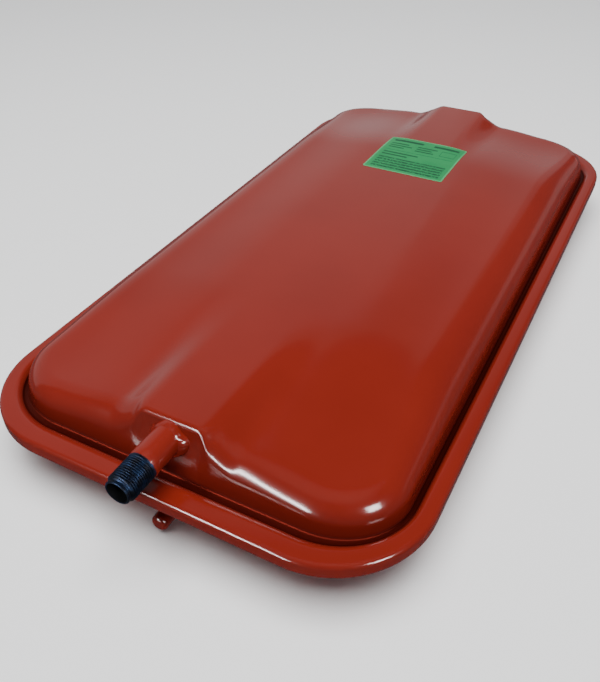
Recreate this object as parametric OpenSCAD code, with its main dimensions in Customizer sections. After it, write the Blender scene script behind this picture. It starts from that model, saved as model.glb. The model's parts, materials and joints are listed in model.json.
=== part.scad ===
// Flat rectangular expansion vessel: two pressed steel half shells, joined by a rolled
// rim that clamps a rubber diaphragm, with a water nipple and a gas valve at one end.
// The vessel lies on the flat of its rear shell. Z is up, Y runs along its length, and
// both connections point along -Y. Heights in the pressing functions are measured from
// the parting plane, halfway between the two flats.

/* [Vessel] */
// Length over the rolled rim
vessel_l = 520; // [430:1:640]
// Width over the rolled rim
vessel_w = 270; // [220:1:330]
// Corner radius of the rim's outer edge
rim_corner_r = 58; // [45:1:80]
// Height of one half shell, from the parting plane to its flat
shell_h = 34.4; // [28:0.1:44]
// Thickness of the shell sheet
sheet_t = 1.2; // [0.8:0.1:1.6]

/* [Pressing] */
// Distance from the rim's outer edge to the foot of the wall at the ends
foot_inset = 20; // [18:0.5:26]
// Distance from the rim's outer edge to the foot of the wall on the long sides
side_foot_inset = 13.5; // [12.5:0.5:18]
// Draft of the side walls, as run over rise
wall_draft = 0.15; // [0.1:0.01:0.2]
// Radius where the wall turns into the roof at the ends
shoulder_r = 15; // [9:0.5:15.5]
// Radius where the wall turns into the roof halfway along the sides
side_shoulder_r = 25; // [15:0.5:26]
// Fall of the roof from the flat to the long sides
side_fall = 4; // [2:0.1:4.5]
// Fall of the roof from the flat to the ends
end_fall = 9; // [6:0.1:9.5]
// Half width of the flat
flat_x = 40; // [32:1:60]
// Half length of the flat
flat_y = 115; // [90:1:140]

/* [End boss] */
// Half width of the boss that carries the connections
boss_half_w = 17; // [14:0.1:21]
// Width of the flare on each side of the boss
boss_flare_w = 24; // [18:0.1:30]
// Run beside the boss in which its edge opens into the wide shoulder
boss_corner_w = 8; // [6:0.5:14]
// Radius of the boss's top edge
boss_edge_r = 3.5; // [2.8:0.1:5]
// Draft of the boss's end face, as run over rise
boss_draft = 0.22; // [0.15:0.01:0.26]

/* [Rim] */
// Outer thickness of the rolled rim
rim_t = 10; // [9:0.1:12]
// Radius of the roll's two bends, with a flat face between them
roll_bend_r = 2.6; // [2:0.1:4.5]
// Width of the flat hem, from the roll, that holds the front flange down
hem_w = 8; // [6:0.1:9]
// Height of the channel floor above the parting plane
channel_z = 0.8; // [0.4:0.1:1]

/* [Diaphragm] */
// Thickness of the membrane
membrane_t = 1.6; // [1.2:0.1:2]
// Space between the front shell and the membrane
membrane_gap = 3.4; // [3:0.1:4.5]
// Width of the clamped part of the bead
bead_w = 5.7; // [4:0.1:6.5]

/* [Water nipple] */
// Outside diameter of the thread, G 3/8
thread_d = 16.66; // [15.8:0.01:16.8]
// Length of the thread with the nose at its mouth
thread_l = 19.5; // [14:0.1:20]
// Outside diameter of the tube behind the thread
tube_d = 17.2; // [17:0.01:18]
// Bore of the nipple
nipple_bore_d = 12; // [8:0.1:12.8]
// Reach of the nipple's mouth beyond the wall foot
nipple_reach = 37; // [30:0.5:48]
// Gap between the top of the tube and the level of the flat
nipple_below_top = 1.3; // [1.2:0.1:2.6]
// Width of the weld's leg on the boss; the leg on the nipple is longer by a third
nipple_weld_leg = 4; // [2.5:0.1:4.5]

/* [Gas valve] */
// Outside diameter of the valve thread, 8V1
stem_thread_d = 7.7; // [7:0.1:8.2]
// Diameter of the stem where it passes through the shell
stem_base_d = 10; // [9.4:0.1:11]
// Reach of the stem's mouth beyond the wall foot
stem_reach = 13; // [11.5:0.1:16]
// Height of the valve's axis above the flat of the rear shell
valve_axis_h = 9.4; // [8.5:0.1:11]
// Width of the valve weld's leg
valve_weld_leg = 1.6; // [1:0.1:2]
// Outside diameter of the cap
cap_d = 9.9; // [9.6:0.1:11]
// Wall of the cap's closed end
cap_end_t = 1.1; // [0.8:0.1:1.6]
// Length of the cap
cap_l = 12.2; // [9:0.1:12.5]
// Diameter of the core's thread, 5V1
core_thread_d = 5.2; // [5:0.1:5.4]
// Travel of the core's pin
pin_travel = 1.2; // [0.8:0.1:1.4]

/* [Label] */
// Width of the label
label_w = 67; // [40:1:78]
// Length of the label
label_l = 66; // [40:1:90]
// Distance of the label's centre from the middle of the vessel
label_y = 111.5; // [60:0.5:120]
// Thickness of the label
label_t = 0.2; // [0.1:0.05:0.3]

/* [Fits] */
// Radial clearance of a running fit
run_fit = 0.05; // [0.02:0.01:0.08]
// Gap between pieces that seat without touching
seat_gap = 0.05; // [0.02:0.01:0.1]

/* [Hidden] */
$fn = 64;
nudge = 0.01;

paint_red = "#9c2f22";
foot_x = vessel_w / 2 - side_foot_inset;
foot_y = vessel_l / 2 - foot_inset;
corner_x = vessel_w / 2 - rim_corner_r;
corner_y = vessel_l / 2 - rim_corner_r;

// The roof has finished falling where the shoulder begins, this far inside the foot
shoulder_inset = shoulder_r + wall_draft * (shell_h - side_fall - end_fall);
fall_x = foot_x - side_shoulder_r - wall_draft * (shell_h - side_fall - end_fall);
fall_y = foot_y - shoulder_inset;

roll_r = rim_t / 2;
hem_edge = roll_r + hem_w;
flange_top = roll_r - sheet_t;
flange_under = flange_top - sheet_t;
flange_edge = roll_r + 0.2;

// Shares of the way from the shoulder to the flat, and angles round the shoulder, at
// which the pressings have an edge
roof_steps = [1, 0.74, 0.52, 0.32, 0.15];
shoulder_turn = [78, 55, 32];

// ---- plan outline of the wall foot ------------------------------------------------

// A station is [point on the foot outline, inward normal, whether it is on a corner,
// width of the rim's flat part as a share of its width at the ends].
// The end's stations crowd round the boss and its flares.
boss_stations = [for (i = [0 : 2]) boss_half_w * i / 3];
flare_stations = [for (i = [0 : 5]) boss_half_w + boss_flare_w * i / 5];
flare_end = boss_half_w + boss_flare_w;
ramp_stations = [for (i = [1 : 2]) flare_end + (corner_x - flare_end) * i / 3];
end_stations = concat(boss_stations, flare_stations, ramp_stations);
corner_steps = 6;
side_stations = concat(
    [for (i = [1 : 5]) corner_y + (flat_y - corner_y) * i / 5],
    [flat_y / 2, 0]
);

side_share_of_rim = (side_foot_inset - rim_t / 2) / (foot_inset - rim_t / 2);
quarter = concat(
    [for (x = end_stations) [[x, foot_y], [0, -1], false, 1]],
    [for (i = [0 : corner_steps])
        let (
            a = 90 - 90 * i / corner_steps,
            n = [cos(a), sin(a)],
            k = lerp(1, side_share_of_rim, ease(i / corner_steps)),
            foot_r = rim_corner_r - rim_t / 2 - (foot_inset - rim_t / 2) * k
        ) [[corner_x, corner_y] + foot_r * n, -n, true, k]],
    [for (y = side_stations) [[foot_x, y], [-1, 0], false, side_share_of_rim]]
);
quarter_n = len(quarter);

function flip(v, s) = [v.x * s.x, v.y * s.y];
function flip_station(q, s) = [flip(q[0], s), flip(q[1], s), q[2], q[3]];

stations = concat(
    [for (i = [0 : quarter_n - 2]) quarter[i]],
    [for (i = [quarter_n - 1 : -1 : 1]) flip_station(quarter[i], [1, -1])],
    [for (i = [0 : quarter_n - 2]) flip_station(quarter[i], [-1, -1])],
    [for (i = [quarter_n - 1 : -1 : 1]) flip_station(quarter[i], [-1, 1])]
);
station_n = len(stations);
corner_ids = [for (i = [0 : station_n - 1]) if (stations[i][2]) i];
corner_n = len(corner_ids);

// ---- height of the pressing -------------------------------------------------------

function lerp(a, b, t) = a + (b - a) * t;
function ease(t) = let (c = max(0, min(1, t))) c * c * (3 - 2 * c);
function boss_share(x) = 1 - ease((abs(x) - boss_half_w) / boss_flare_w);
function end_share(y) = ease((abs(y) - flat_y) / (fall_y - flat_y));
function side_share(x) = ease((abs(x) - flat_x) / (fall_x - flat_x));

// Height of the outer surface over the parting plane, inside the shoulders
function roof(p) = shell_h
    - side_fall * side_share(p.x)
    - end_fall * end_share(p.y) * (1 - boss_share(p.x));

// 1 on the boss's end, 0 where the wide shoulder has taken over
function on_boss(p) = end_share(p.y) * (1 - ease((abs(p.x) - boss_half_w) / boss_corner_w));
function draft_at(p) = lerp(wall_draft, boss_draft, on_boss(p));
function wide_r_at(p) = lerp(side_shoulder_r, shoulder_r, end_share(p.y));
function edge_r_at(p) = lerp(wide_r_at(p), boss_edge_r, on_boss(p));

// Point of a station's profile: inset from the wall foot, and height
function place(q, inset, z) = let (p = q[0] + q[1] * inset) [p.x, p.y, z];

// Point on the shoulder arc, at angle a above the horizontal, of the surface that lies
// deep inside the outer one. The lowest angle is where the arc meets the wall.
function shoulder_point(q, deep, a) = let (
        top_at = q[0] + q[1] * shoulder_inset,
        draft = draft_at(top_at),
        lean = atan(draft),
        top = roof(top_at) - deep,
        r = max(edge_r_at(top_at) - deep, 0.5),
        turn = max(a, lean),
        centre = r * cos(lean) + draft * (top - r * (1 - sin(lean))) + deep / cos(lean)
    ) place(q, centre - r * cos(turn), top - r + r * sin(turn));

// Point on the roof, a share of the way from the shoulder to the flat
function roof_point(q, deep, share) = let (
        edge = shoulder_point(q, deep, shoulder_turn[0]),
        goal = [q[0].x * flat_x / foot_x, q[0].y * flat_y / foot_y],
        p = lerp([edge.x, edge.y], goal, share)
    ) [p.x, p.y, roof(p) - deep];

// ---- rings and skins --------------------------------------------------------------

// A full ring has a point at every station, and a rim ring only at the corners
function dome_rings(deep, steps = roof_steps, turns = shoulder_turn) = concat(
    [for (t = steps) [for (q = stations) roof_point(q, deep, t)]],
    [for (a = turns) [for (q = stations) shoulder_point(q, deep, a)]],
    [[for (q = stations) shoulder_point(q, deep, 0)]]
);
function rim_rings(profile) = [
    for (c = profile) [for (i = corner_ids) place(stations[i], rim_inset(stations[i], c.x), c.y)]
];
// Inset from the foot, of a point whose inset from the rim's edge at the ends is s. The
// roll keeps its size round the rim, and the flat between it and the foot narrows.
function rim_inset(q, s) = s > foot_inset
    ? s - foot_inset
    : (max(s, roll_r) - foot_inset) * q[3] + min(s - roll_r, 0);
function turned(list) = [for (i = [len(list) - 1 : -1 : 0]) list[i]];

function ring_starts(rings, i = 0, at = 0) = i == len(rings)
    ? []
    : concat([at], ring_starts(rings, i + 1, at + len(rings[i])));

// Two triangles across each gap of two rings with as many points
function even_strip(a, b, n) = [
    for (i = [0 : n - 1]) let (j = (i + 1) % n)
    each [[a + i, b + i, b + j], [a + i, b + j, a + j]]
];
// A full ring from f and a rim ring from r: each rim edge spans the stations between
function mixed_strip(f, r) = [
    for (k = [0 : corner_n - 1]) let (
        m = (k + 1) % corner_n,
        lo = corner_ids[k],
        hi = corner_ids[m] + (m == 0 ? station_n : 0),
        mid = floor((lo + hi) / 2)
    ) each concat(
        [for (i = [lo : 1 : mid - 1]) [f + i % station_n, r + k, f + (i + 1) % station_n]],
        [[f + mid % station_n, r + k, r + m]],
        [for (i = [mid : 1 : hi - 1]) [f + i % station_n, r + m, f + (i + 1) % station_n]]
    )
];
function swapped(faces) = [for (t = faces) [t[0], t[2], t[1]]];
function strip(rings, starts, i) = let (
        a = len(rings[i]),
        b = len(rings[i + 1])
    ) a == b ? even_strip(starts[i], starts[i + 1], a)
    : a > b ? mixed_strip(starts[i], starts[i + 1])
    : swapped(mixed_strip(starts[i + 1], starts[i]));

// Closed skin through rings that run from the middle of one face, round the edge of
// the sheet, to the middle of the other face. Each middle is closed by a fan of
// triangles round a point of its own.
function fan(hub, ring) = [
    for (i = [0 : station_n - 1]) [hub, ring + i, ring + (i + 1) % station_n]
];
function hub_point(ring) = [0, 0, ring[0].z];

module skin(rings) {
    starts = ring_starts(rings);
    last = len(rings) - 1;
    hub = starts[last] + len(rings[last]);
    polyhedron(
        points = concat(
            [for (r = rings) each r],
            [hub_point(rings[0]), hub_point(rings[last])]
        ),
        faces = concat(
            fan(hub, starts[0]),
            [for (i = [0 : last - 1]) each strip(rings, starts, i)],
            swapped(fan(hub + 1, starts[last]))
        ),
        convexity = 8
    );
}

// Section of the roll, deep inside its outer face: two bends with a straight between
function roll_path(deep) = [
    for (side = [0, 1], i = [0 : 3]) let (
        a = 90 * side + 30 * i,
        r = roll_bend_r - deep
    ) [roll_bend_r - r * sin(a), (1 - 2 * side) * (roll_r - roll_bend_r) + r * cos(a)]
];

// Half shell heights are over the parting plane, so the rear shell is built upwards and
// then turned over
foot_z = 2.4;
front_profile = [
    [foot_inset + wall_draft * foot_z, foot_z],
    [foot_inset - 1.4, channel_z],
    [hem_edge + 2.2, channel_z],
    [hem_edge - 0.4, flange_top],
    [flange_edge, flange_top],
    [flange_edge, flange_under],
    [hem_edge - 0.8, flange_under],
    [hem_edge + 1.8, channel_z - sheet_t],
    [foot_inset - 0.8, channel_z - sheet_t],
    [foot_inset + wall_draft * foot_z + sheet_t, foot_z - 0.6]
];
rear_foot_z = roll_r + 1.8;
rear_profile = concat(
    [[foot_inset + wall_draft * rear_foot_z, rear_foot_z], [foot_inset - 1.4, roll_r]],
    roll_path(0),
    [[hem_edge, -roll_r], [hem_edge, -flange_top]],
    turned(roll_path(sheet_t)),
    [[foot_inset - 0.9, flange_top],
        [foot_inset + wall_draft * rear_foot_z + sheet_t, rear_foot_z - 0.8]]
);

membrane_deep = sheet_t + membrane_gap;
membrane_floor = channel_z - sheet_t - 0.5;
bead_inner = flange_edge + bead_w + 0.4;
membrane_foot = foot_inset + membrane_deep + 1;
diaphragm_profile = [
    [membrane_foot, membrane_floor],
    [bead_inner + 2.4, membrane_floor],
    [bead_inner, flange_under],
    [flange_edge + 0.4, flange_under],
    [roll_r - 2, flange_under - 0.7],
    [roll_r - 3.1, -0.5],
    [roll_r - 2, 1 - flange_top],
    [flange_edge + 0.4, -flange_top],
    [bead_inner, -flange_top],
    [bead_inner + 2.4, membrane_floor - membrane_t],
    [membrane_foot + membrane_t * 0.6, membrane_floor - membrane_t]
];

// ---- connections ------------------------------------------------------------------

parting_z = shell_h;
// Y of the boss's end face at a height from the parting plane
function face_y(h) = -foot_y + boss_draft * h;

// Draws upwards along Z, laid so that Z points along -Y from height z over the floor
module toward_end(z, y = 0) {
    translate([0, y, z]) rotate([90, 0, 0]) children();
}

thread_r = thread_d / 2;
nipple_r = tube_d / 2;
nipple_h = shell_h - nipple_below_top - nipple_r;
nipple_z = parting_z + nipple_h;
nipple_mouth_y = -foot_y - nipple_reach;
nipple_inner_y = face_y(nipple_h + nipple_r);
nipple_l = nipple_inner_y - nipple_mouth_y;

valve_h = shell_h - valve_axis_h;
valve_z = valve_axis_h;
stem_r = stem_thread_d / 2;
stem_base_r = stem_base_d / 2;
stem_mouth_y = -foot_y - stem_reach;
stem_inner_y = face_y(valve_h + stem_base_r) + 2;
stem_l = stem_inner_y - stem_mouth_y;

// Depths into the stem from its mouth
plug_top = 0.6;
plug_l = 4.6;
barrel_top = plug_top + plug_l + seat_gap;
barrel_l = 5 + pin_travel;
barrel_end = barrel_top + barrel_l;
gasket_top = barrel_top + 1.2;
gasket_l = 1.8;
seal_l = 1;
cup_l = 2.2;
pin_tip = 0.3;
pin_r = 0.45;
head_l = 0.4;
collar_r = 1;
collar_top = barrel_top + 0.4;
collar_l = 0.5;
core_r = core_thread_d / 2;
chamber_r = core_r - 0.5;
barrel_r = chamber_r - 0.25;
barrel_bore_r = barrel_r - 0.65;
barrel_floor = 0.8;
groove_r = barrel_r - 0.25;
spring_wire = 0.26;
spring_turns = 4.5;
spring_r = (pin_r + barrel_bore_r) / 2 + 0.08;
spring_top = collar_top + collar_l + seat_gap;
spring_l = barrel_end - barrel_floor - seat_gap - spring_top;
seal_top = barrel_end + seat_gap;
cup_top = barrel_end + 0.3;
pin_end = seal_top + seal_l + cup_l + seat_gap + head_l;
seat_top = barrel_top + 0.9;
seat_end = gasket_top + gasket_l;
seat_r = core_r + run_fit;
cap_seal_l = 1;
cap_tip_y = stem_mouth_y - cap_seal_l - cap_end_t - 2 * seat_gap;
cap_open_y = cap_tip_y + cap_l;
cap_r = cap_d / 2;
cap_bore_r = stem_r + run_fit;

module in_stem() {
    translate([0, stem_mouth_y, valve_z]) rotate([-90, 0, 0]) children();
}
module ring(r, hole, h) {
    difference() {
        cylinder(r = r, h = h);
        translate([0, 0, -nudge]) cylinder(r = hole, h = h + 2 * nudge);
    }
}

// Outer form of a half shell above the parting plane, without its rim. The wall runs
// down to the shell's own foot, at the height given.
module dome_solid(foot_at) {
    skin(concat(
        dome_rings(0),
        rim_rings([[foot_inset + wall_draft * foot_at, foot_at]]),
        [[for (q = stations) place(q, shoulder_inset * 2, foot_at)]]
    ));
}

module nipple_hole() {
    toward_end(nipple_h, nipple_inner_y + 1)
        cylinder(r = nipple_r + run_fit, h = foot_y);
}
module stem_hole() {
    toward_end(valve_h, stem_inner_y + 1)
        cylinder(r = stem_base_r + run_fit, h = foot_y);
}

// ---- sub-parts --------------------------------------------------------------------

module front_shell() {
    color(paint_red) translate([0, 0, parting_z]) difference() {
        skin(concat(dome_rings(0), rim_rings(front_profile), turned(dome_rings(sheet_t))));
        nipple_hole();
    }
}

module rear_shell() {
    color(paint_red) translate([0, 0, parting_z]) mirror([0, 0, 1]) difference() {
        skin(concat(dome_rings(0), rim_rings(rear_profile), turned(dome_rings(sheet_t))));
        stem_hole();
    }
}

// The soft sheet needs fewer edges than the steel round it
module diaphragm() {
    steps = [1, 0.52, 0.15];
    turns = [55];
    color("#2b2b2d") translate([0, 0, parting_z]) skin(concat(
        dome_rings(membrane_deep, steps, turns),
        rim_rings(diaphragm_profile),
        turned(dome_rings(membrane_deep + membrane_t, steps, turns))
    ));
}

// Tube that steps down to its thread, with a nose that a groove sets off at the mouth
module water_nipple() {
    nose_r = thread_r - 1.2;
    nose_l = 1.5;
    groove = 0.4;
    thread_from = nipple_l - thread_l;
    thread_end = nipple_l - nose_l - groove - (thread_r - nose_r + groove);
    color("#20242c") toward_end(nipple_z, nipple_inner_y) rotate_extrude() polygon([
        [nipple_bore_d / 2, 0],
        [nipple_r, 0],
        [nipple_r, thread_from - nipple_r + thread_r],
        [thread_r, thread_from],
        [thread_r, thread_end],
        [nose_r - groove, nipple_l - nose_l - groove],
        [nose_r, nipple_l - nose_l],
        [nose_r, nipple_l - 0.3],
        [nose_r - 0.3, nipple_l],
        [nipple_bore_d / 2 + 0.4, nipple_l],
        [nipple_bore_d / 2, nipple_l - 0.4]
    ]);
}

// Fillet bead, which the wall and the level of the flat bound
module nipple_weld() {
    back = nipple_inner_y + 2;
    leg = nipple_weld_leg;
    front_at = back - face_y(nipple_h - nipple_r) + leg * 4 / 3;
    inner = nipple_r + run_fit;
    color(paint_red) difference() {
        toward_end(nipple_z, back) rotate_extrude() polygon([
            [inner, 0],
            [inner + leg, 0],
            [inner + leg, front_at - leg * 4 / 3],
            [inner + leg * 0.5, front_at - leg * 0.55],
            [inner, front_at]
        ]);
        translate([0, 0, parting_z]) dome_solid(foot_z);
        translate([-foot_x, -foot_y * 2, parting_z + shell_h - nipple_below_top / 4])
            cube([foot_x * 2, foot_y * 2, nipple_r * 2]);
    }
}

// One turned profile: collar, thread, and a bore that narrows in a cone, the gasket's seat
module valve_stem() {
    neck = stem_inner_y - cap_open_y - 1.2;
    color("#b9a06a") toward_end(valve_z, stem_inner_y) rotate_extrude() polygon([
        [chamber_r, 0],
        [stem_base_r, 0],
        [stem_base_r, neck - stem_base_r + stem_r],
        [stem_r, neck],
        [stem_r, stem_l - 0.4],
        [stem_r - 0.4, stem_l],
        [seat_r + 0.3, stem_l],
        [seat_r, stem_l - 0.3],
        [seat_r, stem_l - seat_top],
        [chamber_r, stem_l - seat_end]
    ]);
}

module valve_weld() {
    back = stem_inner_y - 1;
    front_at = back - face_y(valve_h - stem_base_r) + valve_weld_leg;
    toe_r = stem_base_r + run_fit + valve_weld_leg;
    color(paint_red) difference() {
        toward_end(valve_z, back) rotate_extrude() polygon([
            [stem_base_r + run_fit, 0],
            [toe_r, 0],
            [toe_r, front_at - valve_weld_leg],
            [stem_base_r + run_fit, front_at]
        ]);
        translate([0, 0, parting_z]) mirror([0, 0, 1]) dome_solid(rear_foot_z);
    }
}

module core_plug() {
    land_l = 3.2;
    slot_l = 1.6;
    bridge_half = 1;
    color("#c8a24a") in_stem() translate([0, 0, plug_top]) difference() {
        union() {
            cylinder(r = core_r, h = land_l);
            cylinder(r = chamber_r, h = plug_l);
        }
        translate([0, 0, -nudge]) cylinder(r = pin_r + 0.35, h = plug_l + 2 * nudge);
        for (side = [0, 1]) mirror([side, 0, 0]) translate([bridge_half, -core_r, -nudge])
            cube([core_r, core_thread_d, slot_l]);
    }
}

module core_barrel() {
    groove_at = gasket_top - seat_gap;
    groove_end = seat_end + seat_gap;
    color("#c8a24a") in_stem() difference() {
        translate([0, 0, barrel_top]) cylinder(r = barrel_r, h = barrel_l);
        translate([0, 0, groove_at]) ring(core_r, groove_r, groove_end - groove_at);
        translate([0, 0, barrel_top - nudge])
            cylinder(r = barrel_bore_r, h = barrel_l - barrel_floor + nudge);
        translate([0, 0, barrel_top]) cylinder(r = pin_r + 0.15, h = barrel_l + nudge);
    }
}

// Tapered ring that seats on the stem's cone, whose slope it shares
module core_gasket() {
    slope = (seat_r - chamber_r) / (seat_end - seat_top);
    top_r = chamber_r + slope * gasket_l - seat_gap;
    color("#e8e4da") in_stem() translate([0, 0, gasket_top]) rotate_extrude() polygon([
        [groove_r + seat_gap, 0],
        [top_r, 0],
        [chamber_r - seat_gap, gasket_l],
        [groove_r + seat_gap, gasket_l]
    ]);
}

// Round wire wound round the pin: a section swept along a helix
module core_spring() {
    sides = 6;
    steps = 12;
    n = ceil(spring_turns * steps);
    rise = (spring_l - spring_wire) / n;
    wire_r = spring_wire / 2;
    points = [
        for (i = [0 : n], k = [0 : sides - 1]) let (
            turn = 360 * i / steps,
            a = 360 * k / sides,
            r = spring_r + wire_r * cos(a)
        ) [r * cos(turn), r * sin(turn), wire_r + rise * i + wire_r * sin(a)]
    ];
    wraps = [
        for (i = [0 : n - 1], k = [0 : sides - 1])
        let (a = i * sides + k, b = i * sides + (k + 1) % sides)
        each [[a, b + sides, a + sides], [a, b, b + sides]]
    ];
    ends = [
        [for (k = [sides - 1 : -1 : 0]) k],
        [for (k = [0 : sides - 1]) n * sides + k]
    ];
    color("#b8bcc2") in_stem() translate([0, 0, spring_top])
        polyhedron(points = points, faces = concat(wraps, ends), convexity = 10);
}

module core_pin() {
    color("#c8a24a") in_stem() union() {
        translate([0, 0, pin_tip]) cylinder(r = pin_r, h = pin_end - pin_tip);
        translate([0, 0, collar_top]) cylinder(r = collar_r, h = collar_l);
        translate([0, 0, pin_end - head_l]) cylinder(r = pin_r + 0.4, h = head_l);
    }
}

module core_cup() {
    cup_end = seal_top + seal_l + cup_l;
    color("#c8a24a") in_stem() difference() {
        translate([0, 0, cup_top]) cylinder(r = chamber_r - 0.12, h = cup_end - cup_top);
        translate([0, 0, cup_top - nudge])
            cylinder(r = barrel_r - 0.08, h = seal_top + seal_l + seat_gap - cup_top + nudge);
        translate([0, 0, cup_top]) cylinder(r = pin_r + seat_gap / 2, h = cup_end);
    }
}

module core_seal() {
    color("#1d1d1f") in_stem() translate([0, 0, seal_top])
        ring(barrel_r - 0.1, pin_r + seat_gap / 2, seal_l);
}

module cap_seal() {
    color("#1d1d1f") toward_end(valve_z, stem_mouth_y - seat_gap)
        cylinder(r = stem_r - 0.3, h = cap_seal_l);
}

module valve_cap() {
    round_r = 1.6;
    color(paint_red) toward_end(valve_z, cap_open_y) rotate_extrude() polygon(concat(
        [
            [cap_bore_r, 0],
            [cap_r - 0.3, 0],
            [cap_r, 0.3]
        ],
        [for (a = [0 : 15 : 90])
            [cap_r - round_r + round_r * cos(a), cap_l - round_r + round_r * sin(a)]],
        [
            [0, cap_l],
            [0, cap_l - cap_end_t],
            [cap_bore_r, cap_l - cap_end_t]
        ]
    ));
}

// A thin sheet between two copies of the shell's outer form
module label() {
    lift = 0.02;
    corner_r = 1.5;
    color("#3f9d6b") translate([0, 0, parting_z]) difference() {
        intersection() {
            translate([0, label_y, shell_h - side_fall]) linear_extrude(side_fall * 2) hull()
                for (sx = [-1, 1], sy = [-1, 1])
                    translate([sx * (label_w / 2 - corner_r), sy * (label_l / 2 - corner_r)])
                        circle(r = corner_r);
            translate([0, 0, lift + label_t]) dome_solid(foot_z);
        }
        translate([0, 0, lift]) dome_solid(foot_z);
    }
}

front_shell();
rear_shell();
diaphragm();
water_nipple();
nipple_weld();
valve_stem();
valve_weld();
core_plug();
core_barrel();
core_gasket();
core_spring();
core_pin();
core_cup();
core_seal();
cap_seal();
valve_cap();
label();
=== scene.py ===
"""Flat rectangular expansion vessel, as an add-on that models and finishes its pieces."""

import json
import math

import bmesh
import bpy
from bpy.props import FloatProperty, FloatVectorProperty, IntProperty, PointerProperty
from mathutils import Matrix, Quaternion, Vector


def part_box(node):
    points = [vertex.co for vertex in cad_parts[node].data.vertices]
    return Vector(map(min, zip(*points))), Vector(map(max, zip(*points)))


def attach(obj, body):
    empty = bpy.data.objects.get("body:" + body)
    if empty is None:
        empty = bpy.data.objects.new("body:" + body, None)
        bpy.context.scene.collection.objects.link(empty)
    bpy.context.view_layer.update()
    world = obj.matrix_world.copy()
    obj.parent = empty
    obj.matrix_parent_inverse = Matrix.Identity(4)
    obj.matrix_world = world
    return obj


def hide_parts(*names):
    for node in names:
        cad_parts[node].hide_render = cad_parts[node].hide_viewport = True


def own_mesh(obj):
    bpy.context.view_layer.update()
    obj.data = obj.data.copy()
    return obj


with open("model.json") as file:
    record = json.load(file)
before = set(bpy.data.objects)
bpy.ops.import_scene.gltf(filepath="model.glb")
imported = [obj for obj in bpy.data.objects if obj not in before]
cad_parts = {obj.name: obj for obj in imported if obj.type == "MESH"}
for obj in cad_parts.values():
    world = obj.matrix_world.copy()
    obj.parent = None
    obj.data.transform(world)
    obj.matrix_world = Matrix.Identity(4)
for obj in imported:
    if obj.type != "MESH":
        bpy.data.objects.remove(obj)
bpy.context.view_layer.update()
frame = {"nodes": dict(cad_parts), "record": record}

bl_info = {
    "name": "Expansion vessel",
    "version": (1, 0, 0),
    "blender": (4, 5, 0),
    "location": "View3D > Sidebar > Vessel",
    "description": "Models a flat expansion vessel with its water nipple and gas valve",
    "category": "Object",
}

RIM_LOW, RIM_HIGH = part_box("rear_shell")
DOME_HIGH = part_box("front_shell")[1]
NIPPLE_LOW, NIPPLE_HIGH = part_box("water_nipple")
STEM_LOW, STEM_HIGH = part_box("valve_stem")
CAP_LOW, CAP_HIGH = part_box("valve_cap")
SPRING_LOW, SPRING_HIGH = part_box("core_spring")
LABEL_LOW, LABEL_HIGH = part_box("label")

# Gap in metres round a piece that passes through a hole.
FIT_GAP = 0.00005


# ---- sizes and colours a user can change -----------------------------------------------


def length(name, default, description):
    """A length in metres, as a property."""
    return FloatProperty(
        name=name, description=description, default=default, min=0.0, unit="LENGTH", precision=5
    )


def colour(name, default, description):
    """A colour in linear light, as a property."""
    return FloatVectorProperty(
        name=name, description=description, default=default, subtype="COLOR", min=0.0, max=1.0
    )


class PressingSizes(bpy.types.PropertyGroup):
    """Sizes of the two pressed half shells and their rolled rim."""

    corner_radius: length("Rim corner", 0.058, "Corner radius of the rim's outer edge")
    foot_inset: length("Foot inset", 0.020, "From the rim's edge to the wall at the ends")
    side_foot_inset: length("Side inset", 0.0135, "The same on the long sides")
    sheet: length("Sheet", 0.0012, "Thickness of the steel sheet")
    shoulder_radius: length("Shoulder", 0.015, "Radius of the shoulder at the ends")
    side_shoulder_radius: length("Side shoulder", 0.025, "The same halfway along the sides")
    side_fall: length("Side fall", 0.004, "Fall of the roof to the long sides")
    end_fall: length("End fall", 0.009, "Fall of the roof to the ends")
    flat_half_width: length("Flat half width", 0.040, "Half width of the flat")
    flat_half_length: length("Flat half length", 0.115, "Half length of the flat")
    boss_half_width: length("Boss half width", 0.017, "Half width of the end boss")
    flare_width: length("Flare", 0.024, "Width of the flare beside the boss")
    boss_corner: length("Boss corner", 0.008, "Run from the boss's edge to the wide shoulder")
    boss_edge_radius: length("Boss edge", 0.0035, "Radius of the boss's top edge")
    hem_width: length("Hem", 0.013, "Width of the hem from the rim's edge")
    roll_bend: length("Roll bend", 0.0026, "Radius of the roll's two bends")
    channel_height: length("Channel", 0.0008, "Channel floor over the parting plane")
    wall_draft: FloatProperty(
        name="Wall draft", description="Run over rise of the side walls", default=0.15, min=0.0
    )
    boss_draft: FloatProperty(
        name="Boss draft", description="Run over rise of the boss's end", default=0.22, min=0.0
    )


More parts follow.
